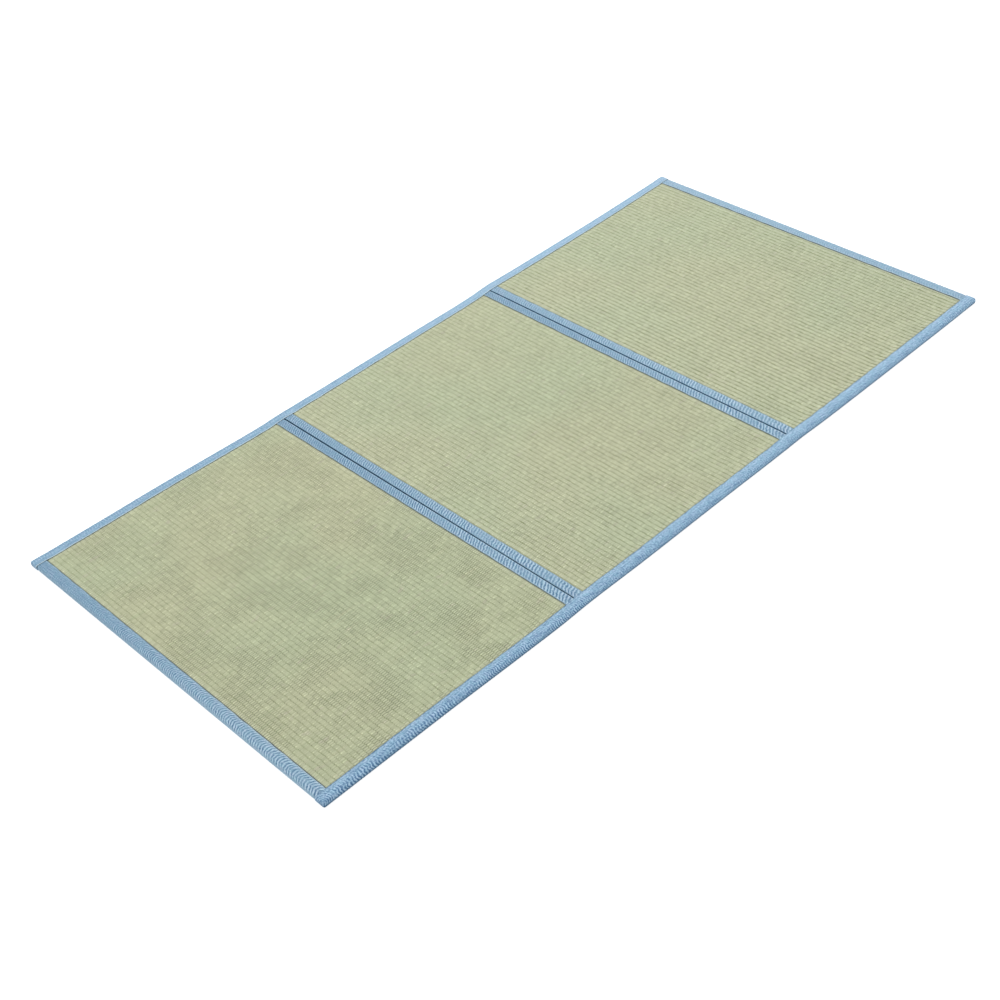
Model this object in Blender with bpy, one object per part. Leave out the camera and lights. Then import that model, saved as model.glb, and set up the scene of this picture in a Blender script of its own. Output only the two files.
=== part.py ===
# Folding tatami mat, opened out and lying flat.
# Three woven rush panels lie in a row along X. A blue tape is folded over each edge: one on each short
# end, one on each panel edge at the two folds, and one along each long side, over the ends of the others.
# The origin is at the middle of the mat, on the floor. +X points along the mat from its near end to its
# far end, +Y to its left side, and +Z up.

import math

import bmesh
import bpy

MM = 0.001

# Sizes of the whole mat, in metres
LENGTH = 1.800
HALF_WIDTH = 0.4431
THICKNESS = 0.0106
FOLD_1 = -0.304
FOLD_2 = 0.293
FOLD_GAP = 0.0016

# Tapes: cloth thickness, and how far each one reaches in over the rush
TAPE = 0.0010
END_TAPE_NEAR = 0.0230
END_TAPE_FAR = 0.0236
FOLD_TAPE = 0.0222
SIDE_TAPE_LEFT = 0.0230
SIDE_TAPE_RIGHT = 0.0248
OUTER_ROLL = 0.0045
FOLD_ROLL = 0.0022
ARC_STEPS = 3

# Clearances between pieces, and how the tapes lie where a side tape crosses another one
GAP = 0.0003
CROSSING_RISE = 0.0006
CROSSING_SINK = 0.0007
RAMP = 0.0090
CROSSING_ROOM = 0.0001
TUCK = 0.0008
CORNER_CUT = 0.0030
ROLL_ROOM = 0.00005

# Rush weave: rows run across the mat
ROW_PITCH = 0.01018
GROOVE_WIDTH = 0.0022
GROOVE_DEPTH = 0.0005
ROW_STEP = 0.0001
RUSH_TOP = 0.01025
RUSH_DIP = 0.00045
DIP_LENGTH = 0.0100
RISER = 0.0008

# Zones of a panel across the mat: under a side tape, where the rush dips beside it, and the open field
MARGIN, DIPPED, FIELD = range(3)

# Shading and flatness angles, in degrees
SHARP_ANGLE = 35
FLAT_ANGLE = 0.02

# How far each long side lies outside its straight line, in mm, at some places along the mat
SIDE_PLACES = [
    # x, left, right
    (-0.900, 9.7, 0.0),
    (-0.720, 5.7, 0.0),
    (-0.620, 4.4, 0.2),
    (-0.460, -1.2, 2.0),
    (-0.350, -4.3, 2.2),
    (-0.304, -3.4, 0.8),
    (-0.150, -3.3, 1.3),
    (0.060, -2.6, 0.0),
    (0.260, -1.8, -0.3),
    (0.315, 1.5, -1.0),
    (0.360, 0.9, 0.0),
    (0.520, 0.0, 0.6),
    (0.680, 0.7, -0.1),
    (0.800, 3.5, -0.8),
    (0.900, 6.2, -2.2),
]

# The closed end of a side tape: distance from its tip, how far it draws in, how far it drops
SOFT_END_OUTSIDE = [(0.0, 2.4, 2.2), (1.0, 0.9, 0.8), (3.5, 0.0, 0.0)]
SOFT_END_INSIDE = [(1.0, 1.4, 1.3), (1.8, 0.5, 0.5), (3.5, 0.0, 0.0)]

# The open end of a tape that is tucked into a side tape: distance from its cut, draw-in, drop
TUCKED_END = [(0.0, 1.5, 1.5), (1.2, 0.3, 0.4), (3.0, 0.0, 0.0)]

RUSH_COLOUR = (0.52, 0.56, 0.34)
TAPE_COLOUR = (0.23, 0.40, 0.62)


def between(x, rows, column):
    """Value of one column of a table at x, on the straight line between its rows."""
    for low, high in zip(rows, rows[1:]):
        if x <= high[0]:
            share = (x - low[0]) / (high[0] - low[0])
            return low[column] + max(share, 0.0) * (high[column] - low[column])
    return rows[-1][column]


widest_left = max(row[1] for row in SIDE_PLACES) * MM
widest_right = max(row[2] for row in SIDE_PLACES) * MM
MIDDLE_SHIFT = (widest_left - widest_right) / 2


def side_line(x, side):
    """Y of the outer face of a long side. side is 1 for the left one and -1 for the right one."""
    column = 1 if side > 0 else 2
    return side * (HALF_WIDTH + between(x, SIDE_PLACES, column) * MM) - MIDDLE_SHIFT


def clear_scene():
    for old in list(bpy.data.objects):
        bpy.data.objects.remove(old, do_unlink=True)


def make_material(name, colour, roughness):
    material = bpy.data.materials.new(name)
    material.use_nodes = True
    shader = material.node_tree.nodes["Principled BSDF"]
    shader.inputs["Base Color"].default_value = (*colour, 1.0)
    shader.inputs["Roughness"].default_value = roughness
    shader.inputs["Metallic"].default_value = 0.0
    return material


def add_object(name, bm, material):
    bmesh.ops.recalc_face_normals(bm, faces=bm.faces)
    if bm.calc_volume(signed=True) < 0:
        bmesh.ops.reverse_faces(bm, faces=bm.faces)
    mesh = bpy.data.meshes.new(name)
    bm.to_mesh(mesh)
    bm.free()
    mesh.materials.append(material)
    mesh.shade_smooth()
    mesh.set_sharp_from_angle(angle=math.radians(SHARP_ANGLE))
    thing = bpy.data.objects.new(name, mesh)
    bpy.context.collection.objects.link(thing)
    return thing


def folded_section(reach, roll, bottom, top, draw_in):
    """Outer and inner line of a tape folded over an edge, as (distance in from the edge, height)."""
    roll = min(roll, (top - bottom) / 2 - ROLL_ROOM)
    outer = [(reach, bottom)]
    inner = [(reach, bottom + TAPE)]
    for centre, start in ((bottom + roll, -90), (top - roll, 0)):
        for step in range(ARC_STEPS + 1):
            angle = math.radians(start + 90 * step / ARC_STEPS)
            out, up = math.cos(angle), math.sin(angle)
            outer.append((draw_in + roll * (1 - out), centre + roll * up))
            inner.append((draw_in + roll - (roll - TAPE) * out, centre + (roll - TAPE) * up))
    outer.append((reach, top))
    inner.append((reach, top - TAPE))
    return outer, inner


def skin_tape(outer_loops, inner_loops, closed_ends):
    """Closed solid between the outer and the inner lines of a folded tape."""
    bm = bmesh.new()
    outside = [[bm.verts.new(point) for point in loop] for loop in outer_loops]
    inside = [[bm.verts.new(point) for point in loop] for loop in inner_loops]
    last = len(outside[0]) - 1
    for i in range(len(outside) - 1):
        for j in range(last):
            for skin in (outside, inside):
                bm.faces.new((skin[i][j], skin[i + 1][j], skin[i + 1][j + 1], skin[i][j + 1]))
        for j in (0, last):
            bm.faces.new((outside[i][j], outside[i + 1][j], inside[i + 1][j], inside[i][j]))
    for i in (0, len(outside) - 1):
        if closed_ends:
            bm.faces.new(outside[i])
            bm.faces.new(inside[i])
            bm.faces.new((outside[i][0], inside[i][0], inside[i][last], outside[i][last]))
        else:
            for j in range(last):
                bm.faces.new((outside[i][j], outside[i][j + 1], inside[i][j + 1], inside[i][j]))
    bmesh.ops.triangulate(bm, faces=bm.faces)
    return bm


def cross_tape(name, line, inward, reach, roll, material):
    """Tape over an end or over a panel edge at a fold. It crosses the mat and is tucked under both side
    tapes. line is the X of its outer face, and inward is the direction of the rush."""
    stations = []
    for side, side_reach in ((-1, SIDE_TAPE_RIGHT), (1, SIDE_TAPE_LEFT)):
        half = [(side, TAPE + TUCK + s * MM, draw_in * MM, drop * MM, 1.0) for s, draw_in, drop in TUCKED_END]
        clear = side_reach + GAP + RISER
        half += [(side, clear, 0.0, 0.0, 1.0), (side, clear + RAMP, 0.0, 0.0, 0.0)]
        stations += half if side < 0 else half[::-1]
    outer_loops, inner_loops = [], []
    for side, offset, draw_in, drop, under in stations:
        draw_in = draw_in if roll == OUTER_ROLL else 0.0
        bottom = under * (TAPE + GAP) + drop
        top = THICKNESS - under * CROSSING_SINK - drop
        sections = folded_section(reach, roll, bottom, top, draw_in)
        for loops, section in zip((outer_loops, inner_loops), sections):
            points = [(line + inward * u, z) for u, z in section]
            loops.append([(x, side_line(x, side) - side * offset, z) for x, z in points])
    return add_object(name, skin_tape(outer_loops, inner_loops, closed_ends=False), material)


def side_tape(name, side, reach, material):
    """Tape along a whole long side. It rises a little where it crosses the other tapes, and both of its
    ends are closed."""
    tip = LENGTH / 2 + GAP + TAPE
    level = [(-tip, 1.0)]
    level.append((-LENGTH / 2 + END_TAPE_NEAR + GAP, 1.0))
    level.append((-LENGTH / 2 + END_TAPE_NEAR + GAP + RAMP, 0.0))
    for fold in (FOLD_1, FOLD_2):
        half = FOLD_GAP / 2 + FOLD_TAPE + GAP
        level += [(fold - half - RAMP, 0.0), (fold - half, 1.0)]
        level += [(fold + half, 1.0), (fold + half + RAMP, 0.0)]
    level.append((LENGTH / 2 - END_TAPE_FAR - GAP - RAMP, 0.0))
    level.append((LENGTH / 2 - END_TAPE_FAR - GAP, 1.0))
    level.append((tip, 1.0))
    soft = [row[0] * MM for row in SOFT_END_OUTSIDE]
    inner_soft = [row[0] * MM for row in SOFT_END_INSIDE]
    middle = [row[0] for row in SIDE_PLACES[1:-1]] + [row[0] for row in level[1:-1]]
    outer_x = [q - tip for q in soft] + sorted(middle) + [tip - q for q in reversed(soft)]
    inner_x = [q - tip for q in inner_soft] + sorted(middle) + [tip - q for q in reversed(inner_soft)]

    def loop(x, table, inside):
        q = (tip - abs(x)) / MM
        draw_in = between(q, table, 1) * MM
        drop = between(q, table, 2) * MM
        top = THICKNESS + CROSSING_RISE * between(x, level, 1) - drop
        section = folded_section(reach, OUTER_ROLL, drop, top, draw_in)[inside]
        return [(x, side_line(x, side) - side * u, z) for u, z in section]

    outer_loops = [loop(x, SOFT_END_OUTSIDE, 0) for x in outer_x]
    inner_loops = [loop(x, SOFT_END_INSIDE, 1) for x in inner_x]
    return add_object(name, skin_tape(outer_loops, inner_loops, closed_ends=True), material)


def edge_lines(roll, reach):
    """Distances from a tape's outer face where the panel under it changes height, with the drop there."""
    wall = TAPE + GAP
    radius = roll - wall
    lines = []
    for step in range(ARC_STEPS + 1):
        angle = math.radians(90 * step / ARC_STEPS)
        lines.append((wall + radius * (1 - math.cos(angle)), radius * (1 - math.sin(angle))))
    return lines + [(reach + GAP, 0.0), (reach + GAP + RISER, 0.0)]


def row_profile(start, end):
    """X and height of the rush rows between two tapes, with a groove between two rows."""
    count = round((end - start) / ROW_PITCH)
    pitch = (end - start) / count
    points = []
    for row in range(count):
        crown = RUSH_TOP - (row % 2) * ROW_STEP
        groove = start + row * pitch
        if row:
            points.append((groove, crown - GROOVE_DEPTH))
        points.append((groove + GROOVE_WIDTH / 2, crown))
        points.append((groove + pitch - GROOVE_WIDTH / 2, crown))
    return points


def margin_levels(crossed, drop):
    """Top and underside of a panel where it is pressed between the two sides of a tape. crossed is 1 where
    two tapes lie over each other there, and else 0."""
    room = TAPE + GAP
    top = THICKNESS - room - crossed * (CROSSING_SINK + CROSSING_ROOM) - drop
    bottom = room + crossed * (room + CROSSING_ROOM) + drop
    return top, bottom


def rush_panel(name, start, end, material):
    """Woven slab. start and end are (X of the tape's outer face, reach, roll) of the tapes at its edges.
    Its margins are pressed thin under the tapes, and its underside is flat."""
    start_lines = [(start[0] + u, drop, None) for u, drop in edge_lines(start[2], start[1])]
    end_lines = [(end[0] - u, drop, None) for u, drop in edge_lines(end[2], end[1])]
    field_start, field_end = start_lines.pop()[0], end_lines.pop()[0]
    groove = RUSH_TOP - GROOVE_DEPTH
    rows = [(x, 0.0, height) for x, height in row_profile(field_start, field_end)]
    x_lines = start_lines + [(field_start, 0.0, groove)] + rows + [(field_end, 0.0, groove)] + end_lines[::-1]

    y_lines = []
    for side, reach in ((-1, SIDE_TAPE_RIGHT), (1, SIDE_TAPE_LEFT)):
        edge = [(side, u, drop, MARGIN) for u, drop in edge_lines(OUTER_ROLL, reach)]
        field_edge = edge.pop()[1]
        edge += [(side, field_edge, 0.0, DIPPED), (side, field_edge + DIP_LENGTH, 0.0, FIELD)]
        y_lines += edge if side < 0 else edge[::-1]

    bm = bmesh.new()
    tops, bottoms = [], []
    for x, x_drop, row_height in x_lines:
        from_end = min(x - start[0], end[0] - x)
        dip = 1 - min((from_end - start[1]) / DIP_LENGTH, 1.0)
        corner = max(0.0, CORNER_CUT - (from_end - TAPE - GAP))
        top_row, bottom_row = [], []
        for side, u, y_drop, zone in y_lines:
            inset = u + corner if zone == MARGIN and u < OUTER_ROLL + GAP else u
            y = side_line(x, side) - side * inset
            if row_height is None or zone == MARGIN:
                crossed = 1 if row_height is None and zone != FIELD else 0
                top, bottom = margin_levels(crossed, max(x_drop, y_drop))
            else:
                top, bottom = row_height - RUSH_DIP * (1.0 if zone == DIPPED else dip), 0.0
            top_row.append(bm.verts.new((x, y, top)))
            bottom_row.append(bm.verts.new((x, y, bottom)))
        tops.append(top_row)
        bottoms.append(bottom_row)
    last_x, last_y = len(tops) - 1, len(tops[0]) - 1
    for skin in (tops, bottoms):
        for i in range(last_x):
            for j in range(last_y):
                bm.faces.new((skin[i][j], skin[i + 1][j], skin[i + 1][j + 1], skin[i][j + 1]))
    for i in range(last_x):
        for j in (0, last_y):
            bm.faces.new((tops[i][j], tops[i + 1][j], bottoms[i + 1][j], bottoms[i][j]))
    for j in range(last_y):
        for i in (0, last_x):
            bm.faces.new((tops[i][j], tops[i][j + 1], bottoms[i][j + 1], bottoms[i][j]))
    bmesh.ops.recalc_face_normals(bm, faces=bm.faces)
    bmesh.ops.dissolve_limit(bm, angle_limit=math.radians(FLAT_ANGLE), verts=bm.verts, edges=bm.edges)
    bmesh.ops.triangulate(bm, faces=bm.faces)
    return add_object(name, bm, material)


def build_mat():
    clear_scene()
    rush = make_material("rush", RUSH_COLOUR, 0.75)
    tape = make_material("tape", TAPE_COLOUR, 0.65)

    near_end = (-LENGTH / 2, END_TAPE_NEAR, OUTER_ROLL)
    far_end = (LENGTH / 2, END_TAPE_FAR, OUTER_ROLL)
    before_1 = (FOLD_1 - FOLD_GAP / 2, FOLD_TAPE, FOLD_ROLL)
    after_1 = (FOLD_1 + FOLD_GAP / 2, FOLD_TAPE, FOLD_ROLL)
    before_2 = (FOLD_2 - FOLD_GAP / 2, FOLD_TAPE, FOLD_ROLL)
    after_2 = (FOLD_2 + FOLD_GAP / 2, FOLD_TAPE, FOLD_ROLL)

    rush_panel("panel_near", near_end, before_1, rush)
    rush_panel("panel_middle", after_1, before_2, rush)
    rush_panel("panel_far", after_2, far_end, rush)

    cross_tape("end_binding_near", near_end[0], 1, near_end[1], near_end[2], tape)
    cross_tape("fold_binding_1_near", before_1[0], -1, before_1[1], before_1[2], tape)
    cross_tape("fold_binding_1_far", after_1[0], 1, after_1[1], after_1[2], tape)
    cross_tape("fold_binding_2_near", before_2[0], -1, before_2[1], before_2[2], tape)
    cross_tape("fold_binding_2_far", after_2[0], 1, after_2[1], after_2[2], tape)
    cross_tape("end_binding_far", far_end[0], -1, far_end[1], far_end[2], tape)

    side_tape("side_binding_left", 1, SIDE_TAPE_LEFT, tape)
    side_tape("side_binding_right", -1, SIDE_TAPE_RIGHT, tape)


build_mat()
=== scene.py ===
import math

import bpy
import numpy as np
from mathutils import Matrix, Vector


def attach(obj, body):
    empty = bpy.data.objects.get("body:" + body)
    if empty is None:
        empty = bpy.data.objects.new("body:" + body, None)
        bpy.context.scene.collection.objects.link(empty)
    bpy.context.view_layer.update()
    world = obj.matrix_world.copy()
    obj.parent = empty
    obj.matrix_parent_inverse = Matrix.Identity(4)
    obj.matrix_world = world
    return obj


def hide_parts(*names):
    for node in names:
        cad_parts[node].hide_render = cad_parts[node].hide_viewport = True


# Folding tatami mat, opened out: three woven rush panels with a folded blue tape round each of them.
# Sizes are in metres. X runs along the mat, Y across it to its left side, Z up from the floor.

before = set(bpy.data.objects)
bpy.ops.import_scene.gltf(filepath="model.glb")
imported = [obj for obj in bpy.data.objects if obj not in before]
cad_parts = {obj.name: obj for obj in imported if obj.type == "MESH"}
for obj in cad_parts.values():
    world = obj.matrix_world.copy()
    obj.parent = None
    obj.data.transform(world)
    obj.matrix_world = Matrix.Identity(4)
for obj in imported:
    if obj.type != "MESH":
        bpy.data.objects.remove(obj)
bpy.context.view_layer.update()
print("frame loaded:", len(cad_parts), "nodes")

matValues = {
    "length": 1.800,
    "halfWidth": 0.4431,
    "thickness": 0.0106,
    "firstFold": -0.304,
    "secondFold": 0.293,
    "foldGap": 0.0016,
    "middleShift": 0.00375,  # the outline is uneven, so its middle isn't half way between the two sides
    "cloth": 0.0010,
    "gap": 0.0003,
    "lowRoll": 0.0020,  # radius of the tapes' lower edge
    # how far the long sides lie outside a straight line, in mm: x, left side, right side
    "sidePlaces": (
        (-0.900, 9.7, 0.0), (-0.720, 5.7, 0.0), (-0.620, 4.4, 0.2), (-0.460, -1.2, 2.0),
        (-0.350, -4.3, 2.2), (-0.304, -3.4, 0.8), (-0.150, -3.3, 1.3), (0.060, -2.6, 0.0),
        (0.260, -1.8, -0.3), (0.315, 1.5, -1.0), (0.360, 0.9, 0.0), (0.520, 0.0, 0.6),
        (0.680, 0.7, -0.1), (0.800, 3.5, -0.8), (0.900, 6.2, -2.2),
    ),
}
wall = matValues["cloth"] + matValues["gap"]


# A smooth line through a few places and their values.
def throughPlaces(x, places, values):
    slopes = np.gradient(values, places)
    low = np.clip(np.searchsorted(places, x) - 1, 0, len(places) - 2)
    span = places[low + 1] - places[low]
    t = (x - places[low]) / span
    start = (2 * t**3 - 3 * t**2 + 1) * values[low] + (t**3 - 2 * t**2 + t) * span * slopes[low]
    end = (3 * t**2 - 2 * t**3) * values[low + 1] + (t**3 - t**2) * span * slopes[low + 1]
    return start + end


# Y of the outer face of a long side: side is 1 for the left one and -1 for the right one.
def sideLine(x, side):
    table = np.array(matValues["sidePlaces"])
    column = 1 if side > 0 else 2
    outside = throughPlaces(np.asarray(x, float), table[:, 0], table[:, column] * 0.001)
    return side * (matValues["halfWidth"] + outside) - matValues["middleShift"]


# Slow, uneven waves over a surface, about 1 high, the same at each run.
def softWaves(seed, a, b, longA, longB, layers=6):
    dice = np.random.default_rng(seed)
    total = 0.0
    for layer in range(layers):
        turnA, turnB = dice.uniform(0.5, 1.6, 2) * dice.choice((-1, 1), 2)
        total = total + np.sin(2 * np.pi * (a * turnA / longA + b * turnB / longB + dice.uniform()))
    return total / math.sqrt(layers / 2)


def smoothStep(x, low, high):
    t = np.clip((x - low) / (high - low), 0.0, 1.0)
    return t * t * (3 - 2 * t)


def setMode(mode):
    bpy.ops.object.mode_set(mode=mode)


def pickAll(action="SELECT"):
    bpy.ops.mesh.select_all(action=action)


def deselectAll():
    if bpy.context.object and bpy.context.object.mode != "OBJECT":
        setMode("OBJECT")
    bpy.ops.object.select_all(action="DESELECT")


# A grid primitive with its points laid out by the array places[row, column].
def layGrid(name, places):
    rows, columns = places.shape[:2]
    deselectAll()
    bpy.ops.mesh.primitive_grid_add(x_subdivisions=columns - 1, y_subdivisions=rows - 1, size=1)
    sheet = bpy.context.object
    sheet.name = name
    sheet.data.name = name
    if len(sheet.data.vertices) != rows * columns:
        raise ValueError(name + ": the grid has another number of points")
    sheet.data.vertices.foreach_set("co", places.reshape(-1))
    sheet.data.update()
    return sheet


# Point values become a UV map, which follows the surface.
def setCloth(sheet, across, along):
    layer = sheet.data.uv_layers.active or sheet.data.uv_layers.new()
    layer.name = "cloth"
    corner = np.empty(len(sheet.data.loops), int)
    sheet.data.loops.foreach_get("vertex_index", corner)
    pairs = np.stack((across[corner], along[corner]), 1)
    layer.data.foreach_set("uv", pairs.reshape(-1))


def setPoints(sheet, name, values):
    layer = sheet.data.attributes.new(name, "FLOAT", "POINT")
    layer.data.foreach_set("value", np.asarray(values, float).reshape(-1))


def readPoints(sheet):
    points = np.empty(len(sheet.data.vertices) * 3)
    sheet.data.vertices.foreach_get("co", points)
    return points.reshape(-1, 3)


# Adds nodes to one material and joins them, so that a pattern reads like a sum.
class NodeBench:
    def __init__(self, name):
        self.material = bpy.data.materials.new(name)
        self.material.use_nodes = True
        self.tree = self.material.node_tree
        self.shader = self.tree.nodes["Principled BSDF"]

    def add(self, kind, inputs=(), **settings):
        node = self.tree.nodes.new(kind)
        for name, value in settings.items():
            setattr(node, name, value)
        for socket, value in dict(inputs).items():
            self.feed(node.inputs[socket], value)
        return node

    def feed(self, socket, value):
        if isinstance(value, bpy.types.NodeSocket):
            self.tree.links.new(value, socket)
        else:
            socket.default_value = value

    def maths(self, operation, first, second=0.0, third=0.0, clamp=False):
        node = self.add("ShaderNodeMath", {0: first, 1: second, 2: third}, operation=operation)
        node.use_clamp = clamp
        return node.outputs[0]

    def plus(self, first, second):
        return self.maths("ADD", first, second)

    def times(self, first, second):
        return self.maths("MULTIPLY", first, second)

    # value times factor, plus offset
    def scaled(self, value, factor, offset):
        return self.maths("MULTIPLY_ADD", value, factor, offset)

    def distance(self, first, second):
        return self.maths("ABSOLUTE", self.maths("SUBTRACT", first, second))

    # 0 below low, 1 above high, and a soft rise between them
    def rise(self, value, low, high, to=(0.0, 1.0), kind="SMOOTHSTEP"):
        settings = {"Value": value, "From Min": low, "From Max": high, "To Min": to[0], "To Max": to[1]}
        node = self.add("ShaderNodeMapRange", settings, interpolation_type=kind)
        return node.outputs["Result"]

    def straight(self, value, low, high, to=(0.0, 1.0)):
        return self.rise(value, low, high, to, "LINEAR")

    def mix(self, share, first, second, blend="MIX"):
        node = self.add("ShaderNodeMix", {"Factor": share}, data_type="RGBA", blend_type=blend)
        self.feed(node.inputs[6], first)
        self.feed(node.inputs[7], second)
        return node.outputs[2]

    def noise(self, vector, scale=1.0, detail=2.0, roughness=0.5):
        settings = {"Vector": vector, "Scale": scale, "Detail": detail, "Roughness": roughness}
        return self.add("ShaderNodeTexNoise", settings).outputs["Fac"]

    # noise with its own number of waves along each of two directions
    def grain(self, first, second, counts, layer=0.0, detail=2.0, roughness=0.5):
        spot = self.vector(self.times(first, counts[0]), self.times(second, counts[1]), layer)
        return self.noise(spot, 1.0, detail, roughness)

    def dice(self, vector):
        node = self.add("ShaderNodeTexWhiteNoise", {"Vector": vector}, noise_dimensions="2D")
        return node.outputs["Value"]

    def vector(self, x, y, z=0.0):
        return self.add("ShaderNodeCombineXYZ", {0: x, 1: y, 2: z}).outputs[0]

    def split(self, vector):
        return self.add("ShaderNodeSeparateXYZ", {0: vector}).outputs

    def point(self, name):
        return self.add("ShaderNodeAttribute", attribute_name=name).outputs["Fac"]

    def finish(self, colour, height, roughness, look):
        settings = {"Height": height, "Distance": look["bump"], "Strength": 0.6}
        bump = self.add("ShaderNodeBump", settings)
        self.feed(self.shader.inputs["Base Color"], colour)
        self.feed(self.shader.inputs["Roughness"], roughness)
        self.shader.inputs["Sheen Weight"].default_value = look["sheen"]
        self.shader.inputs["Specular IOR Level"].default_value = look["gloss"]
        self.tree.links.new(bump.outputs[0], self.shader.inputs["Normal"])
        return self.material


rushLook = {
    "green": (0.326, 0.362, 0.228, 1),
    "straw": (0.362, 0.362, 0.228, 1),
    "olive": (0.268, 0.312, 0.176, 1),
    "pink": (0.356, 0.336, 0.252, 1),
    "pale": (0.402, 0.418, 0.290, 1),
    "litPale": (0.440, 0.475, 0.370, 1),
    # colour of the painted shade in the grooves between the rows
    "groove": (0.080, 0.105, 0.010, 1),
    # colour of the painted shadow beside the tapes
    "edge": (0.030, 0.055, 0.085, 1),
    "brickSpread": 0.06,
    "stemSpread": 0.20,
    "grooveShade": 0.47,
    "grooveWander": 0.08,
    "slitShade": 0.36,
    "speckShade": 0.80,
    "speckHighlight": 0.30,
    # waves of each pattern: to a row or metre along the mat, and to a metre across it
    "waverCounts": (0.45, 60.0),
    "deepCounts": (1.3, 75.0),
    "stemCounts": (14.0, 700.0),
    "streakCounts": (9.0, 110.0),
    "pinkCounts": (30.0, 80.0),
    "patchCount": 11.0,
    "toneCount": 2.6,
    "bump": 0.0004,
    "sheen": 0.04,
    "gloss": 0.3,
}


# Rush: rows of short bricks, each of them a few stems that lie along the mat.
def makeRush(look):
    bench = NodeBench("wovenRush")
    weave = bench.split(bench.add("ShaderNodeUVMap", uv_map="cloth").outputs[0])
    place = bench.add("ShaderNodeTexCoord").outputs["Object"]
    spot = bench.split(place)

    # the grooves between the rows waver, and the painted shade in them is stronger in some places
    waver = bench.grain(weave[0], spot[1], look["waverCounts"], 0.0, 3.0, 0.6)
    shift = bench.straight(waver, 0.3, 0.7, (-look["grooveWander"], look["grooveWander"]))
    rowPlace = bench.plus(weave[0], shift)
    row = bench.maths("FLOOR", rowPlace)
    inRow = bench.maths("FRACT", bench.plus(rowPlace, 100.0))
    odd = bench.maths("MODULO", bench.plus(row, 100.0), 2.0)
    oddGroove = bench.maths("MODULO", bench.maths("FLOOR", bench.plus(rowPlace, 100.5)), 2.0)
    shifted = bench.scaled(odd, 0.5, weave[1])
    brick = bench.maths("FLOOR", shifted)
    inBrick = bench.maths("FRACT", bench.plus(shifted, 20.0))
    brickDice = bench.dice(bench.vector(row, brick))
    speckDice = bench.dice(bench.vector(brick, bench.plus(row, 0.37)))

    # patches where the slits between the bricks are deeper and carry more painted shade, and broad changes
    # of tone
    patch = bench.rise(bench.noise(place, look["patchCount"], 3.0, 0.6), 0.38, 0.64)
    tone = bench.noise(place, look["toneCount"])
    fromGroove = bench.distance(inRow, 0.5)
    groove = bench.rise(fromGroove, 0.30, 0.5)
    grooveWeight = bench.scaled(oddGroove, 0.16, bench.point("grooveWeight"))
    deep = bench.grain(rowPlace, spot[1], look["deepCounts"], 5.0, 2.0, 0.6)
    grooveWeight = bench.times(grooveWeight, bench.straight(deep, 0.3, 0.7, (0.3, 1.7)))
    fromSlit = bench.distance(inBrick, 0.5)
    slit = bench.rise(fromSlit, 0.37, 0.5)
    crossingPoint = bench.times(slit, groove)
    slit = bench.times(slit, bench.rise(patch, 0.0, 1.0, (0.15, 1.1)))
    slit = bench.times(slit, bench.point("slitWeight"))

    # single stems, about 1.4 mm wide, and longer streaks of another colour
    stem = bench.grain(spot[0], spot[1], look["stemCounts"], row, 2.0, 0.6)
    streak = bench.grain(spot[0], spot[1], look["streakCounts"], 0.0, 3.0, 0.6)
    pinkish = bench.grain(spot[0], spot[1], look["pinkCounts"], 4.0)

    colour = bench.mix(bench.rise(tone, 0.35, 0.65, (0.0, 0.7)), look["green"], look["straw"])
    colour = bench.mix(bench.rise(streak, 0.56, 0.74, (0.0, 0.5)), colour, look["straw"])
    colour = bench.mix(bench.rise(streak, 0.44, 0.28, (0.0, 0.45)), colour, look["olive"])
    colour = bench.mix(bench.rise(pinkish, 0.60, 0.74, (0.0, 0.5)), colour, look["pink"])
    colour = bench.mix(bench.times(bench.point("besideTape"), 0.34), colour, look["pale"])
    # painted light: each panel is mixed toward a paler colour, more on the farther panels
    colour = bench.mix(bench.point("ribFadeAndLitPale"), colour, look["litPale"])
    spread = 1.0 - look["brickSpread"], 1.0 + look["brickSpread"]
    level = bench.straight(brickDice, 0.0, 1.0, spread)
    spread = 1.0 - look["stemSpread"], 1.0 + look["stemSpread"]
    level = bench.times(level, bench.rise(stem, 0.2, 0.8, spread))
    level = bench.times(level, bench.scaled(odd, 0.02, 0.99))
    # painted shade in the slits between the bricks
    level = bench.times(level, bench.scaled(slit, -look["slitShade"], 1.0))

    # painted shade specks where a groove meets a slit, painted highlights on the stem ends beside a groove
    shadedSpeck = bench.times(crossingPoint, bench.rise(speckDice, 0.45, 0.8))
    shadedSpeck = bench.times(shadedSpeck, bench.point("slitWeight"))
    level = bench.times(level, bench.scaled(shadedSpeck, -look["speckShade"], 1.0))
    besideGroove = bench.rise(bench.distance(inRow, 0.28), 0.20, 0.05)
    highlightSpeck = bench.times(besideGroove, bench.rise(fromSlit, 0.32, 0.12))
    highlightSpeck = bench.times(highlightSpeck, bench.rise(speckDice, 0.35, 0.10))
    level = bench.times(level, bench.scaled(highlightSpeck, look["speckHighlight"], 1.0))
    colour = bench.mix(1.0, colour, bench.vector(level, level, level), "MULTIPLY")
    # painted shade in the grooves between the rows
    grooveShadeShare = bench.times(groove, bench.times(grooveWeight, look["grooveShade"]))
    colour = bench.mix(grooveShadeShare, colour, look["groove"])
    # painted shadow on the rush beside each tape
    colour = bench.mix(bench.point("tapeShade"), colour, look["edge"])

    height = bench.scaled(stem, 0.45, bench.times(groove, -0.6))
    height = bench.scaled(slit, -0.55, height)
    roughness = bench.rise(stem, 0.2, 0.8, (0.72, 0.52))
    return bench.finish(colour, height, roughness, look)


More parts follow.
